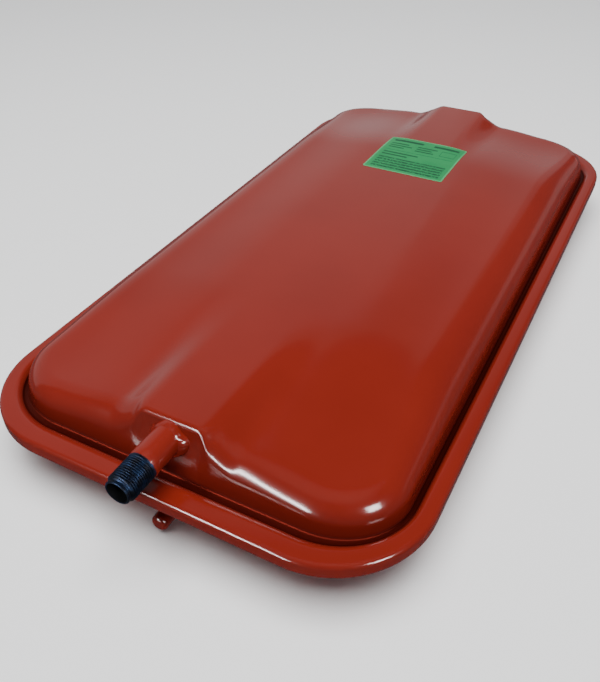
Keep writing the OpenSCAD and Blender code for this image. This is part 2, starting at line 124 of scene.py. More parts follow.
class ConnectionSizes(bpy.types.PropertyGroup):
    """Sizes of the water nipple, the gas valve and their welds."""

    nipple_bore: length("Nipple bore", 0.006, "Radius of the nipple's bore")
    thread_radius: length("Thread radius", 0.00833, "Crest radius of the G 3/8 thread")
    thread_length: length("Thread length", 0.0195, "Threaded stretch with the nose")
    nose_step: length("Nose step", 0.0012, "The nose's radius under the thread's")
    nose_length: length("Nose length", 0.0015, "Length of the nose at the mouth")
    nose_groove: length("Nose groove", 0.0004, "Depth of the groove behind the nose")
    pitch: length("Pitch", 0.001337, "Pitch of the G 3/8 thread")
    thread_depth: length("Thread depth", 0.00082, "Depth of the thread's root")
    nipple_bead: length("Nipple bead", 0.0036, "Leg of the nipple's weld bead")
    valve_bead: length("Valve bead", 0.0016, "Leg of the valve's weld bead")
    ripple: length("Ripple", 0.00045, "Height of the ripples on the beads")
    valve_thread: length("Valve thread", 0.00385, "Radius of the valve's thread")
    spring_wire: length("Spring wire", 0.00026, "Thickness of the core spring's wire")
    spring_turns: FloatProperty(
        name="Spring turns", description="Turns of the core spring", default=4.5, min=1.0
    )
    ripples: IntProperty(
        name="Ripples", description="Ripples round the nipple's bead", default=20, min=8
    )


class FinishColours(bpy.types.PropertyGroup):
    """Colours of the finishes."""

    paint: colour("Paint", (0.187, 0.015, 0.0086), "Gloss oxide red of the vessel")
    # Painted shade: a darker red given to the channel where shade falls
    channel_shade: colour("Channel shade", (0.095, 0.0070, 0.0035), "Dulled red in the channel")
    paint_deep: colour("Paint, deep", (0.170, 0.013, 0.0074), "Red where the paint pooled")
    thread: colour("Thread", (0.005, 0.006, 0.010), "Blackened steel of the thread")
    thread_blue: colour("Thread sheen", (0.010, 0.022, 0.055), "Blue tint on the thread's crests")
    label: colour("Label", (0.012, 0.22, 0.066), "Green of the label's film")
    ink: colour("Ink", (0.006, 0.06, 0.025), "Dark bars on the label")
    brass: colour("Brass", (0.55, 0.36, 0.13), "Brass of the valve")
    rubber: colour("Rubber", (0.016, 0.016, 0.018), "Rubber of diaphragm and seals")
    plastic: colour("Gasket", (0.74, 0.72, 0.66), "Gasket on the valve core")
    steel: colour("Steel", (0.45, 0.46, 0.48), "Spring wire")
    floor: colour("Floor", (0.95, 0.95, 0.95), "Plain pale floor")


# ---- shader maths ----------------------------------------------------------------------


class Value:
    """A shader socket that Python's operators work on."""

    def __init__(self, finish, socket):
        self.finish = finish
        self.socket = socket

    def math(self, operation, *values):
        """A maths node's result on some values."""
        return self.finish.node("ShaderNodeMath", {"operation": operation}, list(values))

    def __add__(self, other):
        return self.math("ADD", self, other)

    __radd__ = __add__

    def __sub__(self, other):
        return self.math("SUBTRACT", self, other)

    def __rsub__(self, other):
        return self.math("SUBTRACT", other, self)

    def __mul__(self, other):
        return self.math("MULTIPLY", self, other)

    __rmul__ = __mul__

    def __pow__(self, other):
        return self.math("POWER", self, other)

    def __gt__(self, other):
        return self.math("GREATER_THAN", self, other)

    def __lt__(self, other):
        return self.math("LESS_THAN", self, other)

    def __abs__(self):
        return self.math("ABSOLUTE", self)


class Finish:
    """A material whose nodes are added by Python expressions."""

    def __init__(self, name):
        self.material = bpy.data.materials.new(name)
        self.material.use_nodes = True
        self.tree = self.material.node_tree
        self.shader = self.tree.nodes["Principled BSDF"]

    def node(self, kind, settings=None, values=None, output=0):
        """Adds a node, sets it, feeds its sockets and returns one of its outputs."""
        made = self.tree.nodes.new(kind)
        for key, setting in (settings or {}).items():
            setattr(made, key, setting)
        given = values.items() if isinstance(values, dict) else enumerate(values or [])
        for key, value in given:
            self.feed(made.inputs[key], value)
        return Value(self, made.outputs[output])

    def feed(self, socket, value):
        """Links a value to a socket, or sets the socket to a constant."""
        if isinstance(value, Value):
            self.tree.links.new(value.socket, socket)
        elif socket.type == "RGBA":
            socket.default_value = (*value, 1.0)[:4]
        else:
            socket.default_value = value

    def set(self, **values):
        """Feeds the main shader, with underscores for the spaces in socket names."""
        for key, value in values.items():
            self.feed(self.shader.inputs[key.replace("_", " ")], value)

    def place(self):
        """The surface's place in metres, as one vector and as x, y and z."""
        spot = self.node("ShaderNodeTexCoord", output="Object")
        parts = self.node("ShaderNodeSeparateXYZ", values=[spot]).socket.node.outputs
        return spot, [Value(self, part) for part in parts]

    def noise(self, spot, size, detail=2.0, roughness=0.5):
        """Smooth noise whose blotches are about the given size across."""
        values = {"Vector": spot, "Scale": 1 / size, "Detail": detail, "Roughness": roughness}
        return self.node("ShaderNodeTexNoise", {"noise_dimensions": "3D"}, values)

    def mix(self, share, low, high):
        """Blends two colours, which are the node's sockets 6 and 7, by a share."""
        values = {"Factor": share, 6: low, 7: high}
        return self.node("ShaderNodeMix", {"data_type": "RGBA"}, values, output=2)

    def span(self, value, low, high):
        """0 under low, 1 over high, and a smooth step between."""
        values = {"Value": value, "From Min": low, "From Max": high}
        return self.node("ShaderNodeMapRange", {"interpolation_type": "SMOOTHSTEP"}, values)

    def bump(self, height):
        """Bends the surface's normal by a height in metres."""
        values = {"Height": height, "Distance": 1.0, "Strength": 1.0}
        return self.node("ShaderNodeBump", values=values)


def tone(shade, gain, lift=0.0):
    """A colour made lighter or darker, up to white."""
    return [min(1.0, part * gain + lift) for part in shade]


def vessel_paint(colours, name, channel=None):
    """Gloss stove enamel with a faint orange peel and a slight sheet waviness.

    In the channel, fully under the first of the two heights given and not at all over the second,
    the colour is darkened with painted shade and the paint is rougher, as with dust. On the
    channel's floor, a metallic sheen keeps the paint's tint and darkens the floor further, also
    as painted shade."""
    finish = Finish(name)
    spot, (_, _, z) = finish.place()
    cloud = finish.noise(spot, 0.09, 3.0)
    peel = finish.noise(spot, 0.0022, 1.0)
    wave = finish.noise(spot, 0.035, 1.0)
    scuff = finish.span(finish.noise(spot, 0.006, 6.0, 0.7), 0.66, 0.74)
    shade = finish.mix(finish.span(cloud, 0.3, 0.72), colours.paint, colours.paint_deep)
    roughness = 0.13 + 0.04 * cloud + 0.10 * scuff
    tinted = 0.0
    if channel:
        # Painted shade in the channel's colour, with a rougher, dusty finish over the same span
        dust_and_shade = 1 - finish.span(z + 0.0008 * cloud, *channel)
        shade = finish.mix(dust_and_shade, shade, colours.channel_shade)
        # On the channel's floor, metallic tints the sheen red and darkens it, as painted shade
        fillet_low, fillet_high = channel[0] + 0.0002, channel[0] + 0.0010
        deep = 1 - finish.span(z, fillet_low, fillet_high)
        roughness = roughness + 0.16 * dust_and_shade + 0.24 * deep
        tinted = 0.85 * deep
    finish.set(
        Base_Color=shade,
        Roughness=roughness,
        Metallic=tinted,
        Normal=finish.bump(peel * 0.000008 + wave * 0.00006),
        Specular_IOR_Level=0.25,
    )
    return finish.material


def nipple_steel(colours, paint_ends, axis, bore):
    """Blackened steel thread, painted over with the vessel behind it, with painted shade making
    its bore near black.
    """
    finish = Finish("nipple_steel")
    spot, (x, y, z) = finish.place()
    # Painted shade: the inside of the bore is coloured near black
    inside = (x ** 2 + (z - axis) ** 2) < (bore + 0.0002) ** 2
    ragged = finish.noise(spot, 0.0025, 2.0)
    painted = finish.span(y + ragged * 0.0008, paint_ends + 0.0002, paint_ends + 0.0006)
    sheen = finish.span(finish.noise(spot, 0.004, 3.0), 0.35, 0.75)
    oil = finish.noise(spot, 0.0009, 3.0)
    bare = finish.mix(sheen, colours.thread, colours.thread_blue)
    coated = finish.mix(painted, bare, colours.paint)
    bore_shade = (0.001, 0.001, 0.0015)
    finish.set(
        Base_Color=finish.mix(inside, coated, bore_shade),
        Roughness=0.40 + 0.16 * oil * (1 - painted) - 0.22 * painted + 0.3 * inside,
        Metallic=0.85 * (1 - painted),
        Specular_IOR_Level=0.25,
        Normal=finish.bump(finish.noise(spot, 0.0012, 2.0) * 0.00004),
    )
    return finish.material


def brass_stem(colours, cap_mouth):
    """Brass stem, painted with the vessel where the cap doesn't cover it."""
    finish = Finish("valve_stem_brass")
    spot, (_, y, _) = finish.place()
    painted = finish.span(y, cap_mouth - 0.0006, cap_mouth - 0.0002)
    marks = finish.noise(spot, 0.0008, 3.0)
    finish.set(
        Base_Color=finish.mix(painted, colours.brass, colours.paint),
        Metallic=1 - painted,
        Roughness=0.3 + 0.12 * marks,
        Coat_Weight=0.5 * painted,
        Normal=finish.bump(marks * 0.00003),
    )
    return finish.material


def label_film(colours):
    """Green film with a paler edge and plain dark bars, rules and rows."""
    finish = Finish("label_film")
    spot, (x, y, _) = finish.place()
    across = (x - LABEL_LOW.x) * (1 / (LABEL_HIGH.x - LABEL_LOW.x))
    down = (LABEL_HIGH.y - y) * (1 / (LABEL_HIGH.y - LABEL_LOW.y))

    def bar(left, right, top, bottom):
        """1 inside a bar, given in shares of the label's width and length."""
        return (across > left) * (across < right) * (down > top) * (down < bottom)

    bars = [
        (0.07, 0.46, 0.075, 0.125), (0.60, 0.93, 0.075, 0.125),
        (0.07, 0.30, 0.19, 0.215), (0.07, 0.36, 0.25, 0.275), (0.07, 0.27, 0.31, 0.335),
        (0.42, 0.68, 0.19, 0.215), (0.42, 0.62, 0.25, 0.275), (0.42, 0.66, 0.31, 0.335),
        (0.74, 0.93, 0.19, 0.20), (0.74, 0.93, 0.33, 0.34),
        (0.74, 0.745, 0.19, 0.34), (0.925, 0.93, 0.19, 0.34),
        (0.07, 0.93, 0.405, 0.412),
        (0.07, 0.52, 0.47, 0.50), (0.07, 0.40, 0.54, 0.57),
    ]
    ink = bar(*bars[0])
    for shares in bars[1:]:
        ink = ink + bar(*shares)
    worded = finish.noise(spot, 0.0016, 1.0) > 0.42
    row_count = 15
    row = down.math("FRACT", down * row_count)
    rows = (row > 0.42) * bar(0.07, 0.93, 0.635, 0.935) * worded
    ink = ink.math("MINIMUM", ink + rows, 1.0)
    edge = across.math("MAXIMUM", abs(across - 0.5) * 2.0, abs(down - 0.5) * 2.0)
    pale, faded = tone(colours.label, 1.3, 0.05), tone(colours.label, 0.62)
    blotch = finish.span(finish.noise(spot, 0.02, 2.0), 0.35, 0.8)
    film = finish.mix(finish.span(edge, 0.955, 0.97), colours.label, pale)
    film = finish.mix(blotch * 0.35, film, faded)
    finish.set(
        Base_Color=finish.mix(ink, film, colours.ink),
        Roughness=0.42 + 0.1 * finish.noise(spot, 0.003, 2.0),
        Specular_IOR_Level=0.15,
        Normal=finish.bump(finish.noise(spot, 0.012, 2.0) * 0.00015),
    )
    return finish.material


def plain_metal(name, shade, roughness):
    """Turned metal with fine tool marks."""
    finish = Finish(name)
    spot, _ = finish.place()
    stretch = finish.node("ShaderNodeMapping", values={"Vector": spot, "Scale": (1, 14, 1)})
    marks = finish.noise(stretch, 0.001, 3.0)
    blotch = finish.noise(spot, 0.004, 2.0)
    finish.set(
        Base_Color=finish.mix(finish.span(blotch, 0.3, 0.8), shade, tone(shade, 0.72)),
        Metallic=1.0,
        Roughness=roughness + 0.15 * marks,
        Normal=finish.bump(marks * 0.00002),
    )
    return finish.material


def soft_plastic(name, shade, roughness):
    """Moulded rubber or plastic with a fine matt grain."""
    finish = Finish(name)
    spot, _ = finish.place()
    grain = finish.noise(spot, 0.0008, 3.0)
    blotch = finish.noise(spot, 0.03, 2.0)
    finish.set(
        Base_Color=finish.mix(finish.span(blotch, 0.35, 0.8), shade, tone(shade, 1.6, 0.01)),
        Roughness=roughness + 0.12 * grain,
        Normal=finish.bump(grain * 0.00004),
    )
    return finish.material


# ---- modelling -------------------------------------------------------------------------


def clear_selection():
    """Leaves edit mode and deselects everything."""
    if bpy.context.object and bpy.context.object.mode != "OBJECT":
        bpy.ops.object.mode_set(mode="OBJECT")
    bpy.ops.object.select_all(action="DESELECT")


def pick(piece):
    """Selects one piece alone and makes it the active one."""
    clear_selection()
    piece.select_set(True)
    bpy.context.view_layer.objects.active = piece


def loft(name, rings, tube=False):
    """Grows a closed skin from a circle, extruded ring by ring onto the given points.

    The first and last rings are closed flat, or are joined to each other on a tube."""
    clear_selection()
    fill = "NOTHING" if tube else "NGON"
    bpy.ops.mesh.primitive_circle_add(vertices=len(rings[0]), fill_type=fill)
    piece = bpy.context.object
    piece.name = piece.data.name = name
    bpy.ops.object.mode_set(mode="EDIT")
    grown = bmesh.from_edit_mesh(piece.data)
    station = grown.verts.layers.int.new("station")
    for vert in grown.verts:
        vert[station] = vert.index
    lay_ring(piece, rings[0])
    for ring in rings[1:] + (rings[:1] if tube else []):
        bpy.ops.mesh.extrude_edges_move()
        lay_ring(piece, ring)
    if not tube:
        bpy.ops.mesh.edge_face_add()
    bpy.ops.mesh.select_all(action="SELECT")
    bpy.ops.mesh.remove_doubles(threshold=1e-7)
    bpy.ops.mesh.normals_make_consistent(inside=False)
    bpy.ops.object.mode_set(mode="OBJECT")
    return piece


def lay_ring(piece, ring):
    """Moves the selected points to their places on a ring."""
    grown = bmesh.from_edit_mesh(piece.data)
    station = grown.verts.layers.int["station"]
    for vert in grown.verts:
        if vert.select:
            vert.co = ring[vert[station]]
    bmesh.update_edit_mesh(piece.data)


def cut_hole(piece, radius, height):
    """Drills a hole along Y through the end wall, at a height over the floor."""
    drill_long, wall_at = 0.030, NIPPLE_HIGH.y - 0.004
    clear_selection()
    bpy.ops.mesh.primitive_cylinder_add(
        vertices=96, radius=radius, depth=drill_long,
        location=(0, wall_at, height), rotation=(math.pi / 2, 0, 0),
    )
    drill = bpy.context.object
    pick(piece)
    hole = piece.modifiers.new("hole", "BOOLEAN")
    hole.operation = "DIFFERENCE"
    hole.object = drill
    hole.solver = "EXACT"
    bpy.ops.object.modifier_apply(modifier=hole.name)
    bpy.data.objects.remove(drill)


def stand(piece, height, side):
    """Lifts a piece drawn over the parting plane to its height, upside down on the rear."""
    for vert in piece.data.vertices:
        vert.co.z = height + side * vert.co.z
    if side < 0:
        piece.data.flip_normals()


def coat(mesh, material):
    """Gives a mesh one material in place of its own."""
    mesh.materials.clear()
    mesh.materials.append(material)


def finish_piece(piece, material, body, node, angle=35):
    """Smooths a piece, gives it its finish and hands it to its body."""
    pick(piece)
    bpy.ops.object.transform_apply(location=True, rotation=True, scale=True)
    bpy.ops.object.shade_smooth_by_angle(angle=math.radians(angle))
    coat(piece.data, material)
    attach(piece, body)
    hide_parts(node)


def steps(first, last, count):
    """Evenly spaced numbers from first to last, both included."""
    return [first + (last - first) * i / (count - 1) for i in range(count)]


def arc(centre, radius, first, last, count):
    """Points on an arc, by angles in degrees, in a profile's own plane."""
    return [
        (centre[0] + radius * math.cos(math.radians(a)),
         centre[1] + radius * math.sin(math.radians(a)))
        for a in steps(first, last, count)
    ]


def ease(t):
    """A smooth step from 0 to 1."""
    t = min(max(t, 0.0), 1.0)
    return t * t * (3 - 2 * t)


def lerp(a, b, t):
    """The value a share of the way from a to b."""
    return a + (b - a) * t


class Pressing:
    """Form of one half shell, in metres over the parting plane."""

    def __init__(self, sizes):
        self.sizes = sizes
        self.height = DOME_HIGH.z / 2
        self.rim = RIM_HIGH.z - self.height
        self.foot = Vector((RIM_HIGH.x - sizes.side_foot_inset, RIM_HIGH.y - sizes.foot_inset))
        leaning = sizes.wall_draft * (self.height - sizes.side_fall - sizes.end_fall)
        self.inset = sizes.shoulder_radius + leaning
        self.side_inset = sizes.side_shoulder_radius + leaning
        self.stations = self.lay_stations()

    def lay_stations(self):
        """Points round the foot of the wall, each with its inward normal and the width of
        the rim's flat as a share of its width at the ends."""
        s = self.sizes
        centre = RIM_HIGH.xy - Vector((s.corner_radius, s.corner_radius))
        narrow = (s.side_foot_inset - self.rim) / (s.foot_inset - self.rim)
        flare = s.boss_half_width + s.flare_width
        across = steps(0, flare, 27)[:-1] + steps(flare, centre.x, 9)[:-1]
        quarter = [(Vector((x, self.foot.y)), Vector((0, -1)), 1.0) for x in across]
        for a in steps(90, 0, 19):
            out = Vector((math.cos(math.radians(a)), math.sin(math.radians(a))))
            share = lerp(narrow, 1, ease(a / 90))
            radius = s.corner_radius - self.rim - (s.foot_inset - self.rim) * share
            quarter.append((centre + out * radius, -out, share))
        along = steps(centre.y, s.flat_half_length, 16)[1:] + steps(s.flat_half_length, 0, 12)[1:]
        quarter += [(Vector((self.foot.x, y)), Vector((-1, 0)), narrow) for y in along]

        def flipped(part, sx, sy):
            flip = Matrix(((sx, 0), (0, sy)))
            return [(flip @ point, flip @ normal, share) for point, normal, share in part]

        return (
            quarter[:-1]
            + flipped(quarter[:0:-1], 1, -1)
            + flipped(quarter[:-1], -1, -1)
            + flipped(quarter[:0:-1], -1, 1)
        )

    def boss_share(self, x):
        """1 on the boss, 0 past its flare."""
        return 1 - ease((abs(x) - self.sizes.boss_half_width) / self.sizes.flare_width)

    def edge_share(self, x):
        """1 on the boss's sharper end, 0 where the wide shoulder has taken over."""
        return 1 - ease((abs(x) - self.sizes.boss_half_width) / self.sizes.boss_corner)

    def end_share(self, y):
        """0 on the flat, 1 at the end's shoulder."""
        flat = self.sizes.flat_half_length
        return ease((abs(y) - flat) / (self.foot.y - self.inset - flat))

    def side_share(self, x):
        """0 on the flat, 1 at the side's shoulder."""
        flat = self.sizes.flat_half_width
        return ease((abs(x) - flat) / (self.foot.x - self.side_inset - flat))

    def roof(self, x, y):
        """Height of the outer face inside the shoulders."""
        s = self.sizes
        end = s.end_fall * self.end_share(y) * (1 - self.boss_share(x))
        return self.height - s.side_fall * self.side_share(x) - end

    def shoulder(self, station, deep, angle):
        """Point on the shoulder's arc, at an angle over the horizontal."""
        s = self.sizes
        top_at = station[0] + station[1] * self.inset
        boss = self.edge_share(top_at.x) * self.end_share(top_at.y)
        draft = lerp(s.wall_draft, s.boss_draft, boss)
        wide = lerp(s.side_shoulder_radius, s.shoulder_radius, self.end_share(top_at.y))
        radius = max(lerp(wide, s.boss_edge_radius, boss) - deep, 0.0005)
        lean = math.atan(draft)
        turn = max(math.radians(angle), lean)
        top = self.roof(*top_at) - deep
        rise = draft * (top - radius * (1 - math.sin(lean)))
        centre = radius * math.cos(lean) + rise + deep / math.cos(lean)
        inset = centre - radius * math.cos(turn)
        return self.on_wall(station, inset, top - radius + radius * math.sin(turn))

    @staticmethod
    def on_wall(station, inset, height):
        """Point at an inset from a station's foot, at a height."""
        point = station[0] + station[1] * inset
        return Vector((point.x, point.y, height))

    def on_roof(self, station, deep, share):
        """Point on the roof, a share of the way from the shoulder to the flat."""
        s = self.sizes
        edge = self.shoulder(station, deep, 88).xy
        point = station[0]
        goal = Vector((
            point.x * s.flat_half_width / self.foot.x, point.y * s.flat_half_length / self.foot.y
        ))
        at = edge.lerp(goal, share)
        return Vector((at.x, at.y, self.roof(*at) - deep))

    def dome(self, deep, shares, turns):
        """Rings from the flat, over the roof and the shoulder, down to the wall."""
        rings = [[self.on_roof(q, deep, t) for q in self.stations] for t in shares]
        rings += [[self.shoulder(q, deep, a) for q in self.stations] for a in turns]
        return rings

    def rim_rings(self, profile):
        """Rings through points given as inset from the rim's edge at the ends, and height."""
        return [
            [self.on_wall(q, self.rim_inset(q[2], s), z) for q in self.stations]
            for s, z in profile
        ]

    def rim_inset(self, share, inset):
        """Inset from the foot. The roll keeps its size, and the flat behind it narrows."""
        foot = self.sizes.foot_inset
        if inset > foot:
            return inset - foot
        return (max(inset, self.rim) - foot) * share + min(inset - self.rim, 0)

    def shell(self, name, profile):
        """A half shell: dome, rim and the inner face back to the middle."""
        fine = [1 - (i / 22) ** 1.15 for i in range(23)]
        outer = self.dome(0, fine, steps(85, 0, 18))
        inner = self.dome(self.sizes.sheet, [1, 0.75, 0.5, 0.25, 0], [60, 30, 0])
        rings = outer + self.rim_rings(profile) + inner[::-1]
        return loft(name, rings)


def front_profile(sizes, rim):
    """Foot fillet, channel and the flange that the hem holds down."""
    floor, under = sizes.channel_height, sizes.channel_height - sizes.sheet
    flange, flange_under = rim - sizes.sheet, rim - 2 * sizes.sheet
    wall, hem, edge = sizes.foot_inset, sizes.hem_width, rim + 0.0002
    fillet, rise_fillet = 0.0010, 0.0022
    return (
        arc((wall - 0.0008, floor + fillet), fillet, -9, -90, 6)
        + arc((hem + 0.0042, floor + rise_fillet), rise_fillet, 270, 222, 7)
        + [(hem + 0.0012, flange - 0.00105), (hem + 0.00045, flange - 0.0005),
           (hem - 0.00025, flange), (hem - 0.0012, flange), (edge, flange), (edge, flange_under),
           (hem - 0.0010, flange_under), (hem + 0.0016, under),
           (wall - 0.0010, under), (wall + 0.0013, floor + 0.0010)]
    )


def rear_profile(sizes, rim):
    """Foot fillet, flange, roll and hem, with heights mirrored on the parting plane."""
    wall, inner = sizes.foot_inset, rim - sizes.sheet
    edge = sizes.hem_width - 0.0003
    bend, small = sizes.roll_bend, sizes.roll_bend - sizes.sheet
    low, high = (bend, rim - bend), (bend, bend - rim)
    fillet, hem_slope = 0.0022, 0.0060
    return (
        arc((wall - 0.0013, rim + fillet), fillet, -9, -90, 6)
        + [(rim, rim)] + arc(low, bend, 90, 180, 10) + arc(high, bend, 180, 270, 10)
        + [(rim, -rim)] + arc((edge - 0.0035, hem_slope - rim), hem_slope, 270, 305, 8)
        + [(edge - 0.0002, -inner), (rim, -inner)]
        + arc(high, small, 270, 180, 5) + arc(low, small, 180, 90, 5)
        + [(wall - 0.0009, inner), (wall + 0.0022, inner + 0.0022)]
    )


def around_y(count, height, shape):
    """A ring round an axis along Y, whose shape gives the radius and y at each angle."""
    ring = []
    for i in range(count):
        angle = math.tau * i / count
        radius, y = shape(angle)
        ring.append(Vector((radius * math.sin(angle), y, height + radius * math.cos(angle))))
    return ring


def axis_of(low, high):
    """Height of the axis of a round piece, from its box."""
    return (low.z + high.z) / 2


def radius_of(low, high):
    """Radius of a round piece, from its box."""
    return (high.x - low.x) / 2


# ---- operators -------------------------------------------------------------------------


class VESSEL_OT_press_shells(bpy.types.Operator):
    """Models the front and rear half shells with the rolled rim"""

    bl_idname = "vessel.press_shells"
    bl_label = "Press the shells"

    def execute(self, context):
        sizes = context.scene.vessel_pressing
        colours = context.scene.vessel_colours
        form = Pressing(sizes)
        paint = vessel_paint(colours, "vessel_paint")
        # Heights that bound the channel's painted shade and its dust
        dust_shade_full, dust_shade_gone = form.height + 0.0015, form.height + 0.0050
        dust_and_shade = vessel_paint(colours, "channel_paint", (dust_shade_full, dust_shade_gone))

        front = form.shell("front_pressing", front_profile(sizes, form.rim))
        rear = form.shell("rear_pressing", rear_profile(sizes, form.rim))
        nipple, stem = (NIPPLE_LOW, NIPPLE_HIGH), (STEM_LOW, STEM_HIGH)
        for piece, side, tube in ((front, 1, nipple), (rear, -1, stem)):
            stand(piece, form.height, side)
            cut_hole(piece, radius_of(*tube) + FIT_GAP, axis_of(*tube))
        finish_piece(front, dust_and_shade, "vessel", "front_shell")
        finish_piece(rear, paint, "vessel", "rear_shell")
        return {"FINISHED"}


class VESSEL_OT_turn_nipple(bpy.types.Operator):
    """Models the water nipple with its thread, grooves and bore"""

    bl_idname = "vessel.turn_nipple"
    bl_label = "Turn the nipple"

    def execute(self, context):
        sizes = context.scene.vessel_connections
        colours = context.scene.vessel_colours
        tube = radius_of(NIPPLE_LOW, NIPPLE_HIGH)
        crest = sizes.thread_radius
        axis = axis_of(NIPPLE_LOW, NIPPLE_HIGH)
        back, mouth = NIPPLE_HIGH.y, NIPPLE_LOW.y
        start = mouth + sizes.thread_length
        bore = sizes.nipple_bore
        nose = crest - sizes.nose_step
        notch = mouth + sizes.nose_length + sizes.nose_groove
        chamfer = 0.0003
        run_out = 2.2 * sizes.pitch
        crest_share, flank_share = 0.14, 0.72

        def blank(y):
            """Radius of the turned blank before the thread is cut."""
            if y < notch:
                edge = max(0.0, mouth + chamfer - y)
                return nose - edge - max(0.0, y - mouth - sizes.nose_length)
            return min(crest, nose - sizes.nose_groove + y - notch)

        def radius(y, angle):
            """Radius with the thread cut in, which runs out towards the painted tube."""
            cut = sizes.thread_depth * ease((start - y) / run_out)
            wave = abs(2 * ((y / sizes.pitch + angle / math.tau) % 1.0) - 1)
            return min(blank(y), crest - cut * ease((wave - crest_share) / flank_share))

        def ring(y, size):
            return around_y(120, axis, lambda angle: (size(y, angle), y))

        rings = [ring(y, lambda y, a: tube) for y in steps(back, start + tube - crest, 6)]
        rings += [ring(y, radius) for y in steps(start - 0.0001, mouth, 178)]
        bore_end = [(bore + 0.0004, mouth), (bore + 0.0001, mouth + 0.0001),
                    (bore, mouth + 0.0004), (bore, back)]
        rings += [ring(y, lambda y, a, r=r: r) for r, y in bore_end]
        nipple = loft("threaded_nipple", rings, tube=True)
        steel = nipple_steel(colours, start, axis, bore)
        finish_piece(nipple, steel, "vessel", "water_nipple", angle=50)
        return {"FINISHED"}


class VESSEL_OT_lay_welds(bpy.types.Operator):
    """Models the two rippled weld beads that hold the connections"""

    bl_idname = "vessel.lay_welds"
    bl_label = "Lay the welds"

    def execute(self, context):
        pressing = context.scene.vessel_pressing
        sizes = context.scene.vessel_connections
        paint = bpy.data.materials["vessel_paint"]
        form = Pressing(pressing)
        beads = [
            ("nipple_bead", (NIPPLE_LOW, NIPPLE_HIGH), sizes.nipple_bead, sizes.ripples, 1,
             "nipple_weld"),
            ("valve_bead", (STEM_LOW, STEM_HIGH), sizes.valve_bead, sizes.ripples // 2, -1,
             "valve_weld"),
        ]
        for name, box, leg, ripples, side, node in beads:
            height = side * (axis_of(*box) - form.height)
            rings = self.bead_rings(form, radius_of(*box), height, leg, ripples, sizes.ripple)
            bead = loft(name, rings, tube=True)
            stand(bead, form.height, side)
            finish_piece(bead, paint, "vessel", node, angle=60)
        return {"FINISHED"}

    @staticmethod
    def bead_rings(form, radius, height, leg, ripples, ripple):
        """Rings of a fillet bead round a tube, from its toe on the end wall to the tube.

        The bead is thinned over the tube, where the wall ends, and its ripples trail along
        its crown."""
        s = form.sizes
        lean = math.atan(s.boss_draft)
        edge = s.boss_edge_radius
        edge_from = form.height - edge + edge * math.sin(lean)
        edge_centre = -form.foot.y + s.boss_draft * edge_from + edge * math.cos(lean)

        def wall(z):
            """y of the end wall at a height over the parting plane."""
            if z < edge_from:
                return -form.foot.y + s.boss_draft * z
            rise = min(z - (form.height - edge), edge)
            return edge_centre - math.sqrt(edge ** 2 - rise ** 2)

        gap = 0.00003
        on_tube = leg * 1.3
        thinned = 0.93
        bulge = leg * 0.10
        drag = 0.10

        def bead(share):
            """The bead's surface a share of the way from its toe to the tube."""
            crown = math.sin(math.pi * share)

            def shape(angle):
                up = math.cos(angle)
                toe = radius + leg * (1 - thinned * ease(up * 1.6))
                foot, face = wall(height + toe * up), wall(height + radius * up)
                wave = abs(math.sin(ripples * (angle - drag * crown) / 2)) ** 0.6
                lift = ripple * crown * share * wave
                out = lerp(toe, radius + gap, share) + crown * bulge + lift * 0.6
                y = lerp(foot, face - on_tube, share ** 1.1) - crown * bulge * 0.6 - lift * 0.7
                return out, y

            return shape

        count = 40 * max(4, ripples // 6)
        rings = [around_y(count, height, bead(share)) for share in steps(0, 1, 13)]
        under = (radius * 1.004, wall(height) + 0.002)
        return rings + [around_y(count, height, lambda angle: under)]


class VESSEL_OT_turn_valve(bpy.types.Operator):
    """Models the gas valve's round-ended cap and gives its stem a finish"""

    bl_idname = "vessel.turn_valve"
    bl_label = "Turn the valve"

    def execute(self, context):
        sizes = context.scene.vessel_connections
        colours = context.scene.vessel_colours
        paint = bpy.data.materials["vessel_paint"]
        axis = axis_of(CAP_LOW, CAP_HIGH)
        radius = radius_of(CAP_LOW, CAP_HIGH)
        mouth, tip = CAP_HIGH.y, CAP_LOW.y
        bore = sizes.valve_thread + FIT_GAP
        dome = 0.0024
        rounding = 0.0004
        groove_deep = 0.0003
        groove_near, groove_far = mouth - 0.0016, mouth - 0.0027
        inner_tip = tip + 0.0011
        outside = [(dome * 0.25, tip)] + [
            (radius - dome + r, y) for r, y in arc((0, tip + dome), dome, -90, 0, 12)
        ] + [
            (radius, groove_far), (radius - groove_deep, groove_far + groove_deep),
            (radius - groove_deep, groove_near - groove_deep), (radius, groove_near),
            (radius, mouth - rounding), (radius - rounding, mouth), (bore, mouth),
        ]
        inside = [
            (bore, inner_tip + 0.0002), (bore - 0.0002, inner_tip), (bore / 4, inner_tip)
        ]
        rings = [around_y(96, axis, lambda angle, at=at: at) for at in outside + inside]
        cap = loft("valve_cap_shell", rings)
        finish_piece(cap, paint, "cap", "valve_cap", angle=40)
        coat(frame["nodes"]["valve_stem"].data, brass_stem(colours, mouth))
        return {"FINISHED"}


